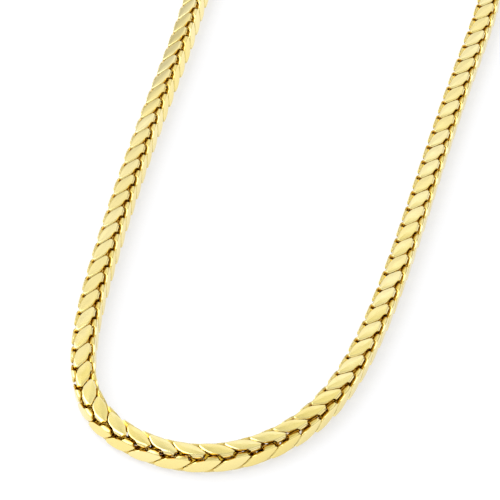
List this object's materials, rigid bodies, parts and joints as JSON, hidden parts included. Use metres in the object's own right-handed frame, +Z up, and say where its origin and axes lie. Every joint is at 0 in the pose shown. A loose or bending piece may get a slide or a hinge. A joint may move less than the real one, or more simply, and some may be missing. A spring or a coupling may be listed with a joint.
{
  "type": "wheat chain",
  "caption": "Square wheat chain of hooked twisted links with flat polished faces, lying as a narrow loop and closed by a plain clasp.",
  "frame": {"origin": "on the surface that the chain lies on, under the middle of the loop's bounding box", "axes": "+Z up from the surface, +Y along the loop's long way from the viewer towards the clasp, +X across it to the viewer's right"},
  "size_m": [0.1006, 0.1974, 0.0059],
  "materials": {
    "gold_links": "polished yellow gold, ground flat on four faces",
    "gold_clasp": "polished yellow gold"
  },
  "bodies": {
    "root": {"chain_left": "gold_links", "chain_right": "gold_links", "clasp": "gold_clasp"}
  },
  "joints": []
}
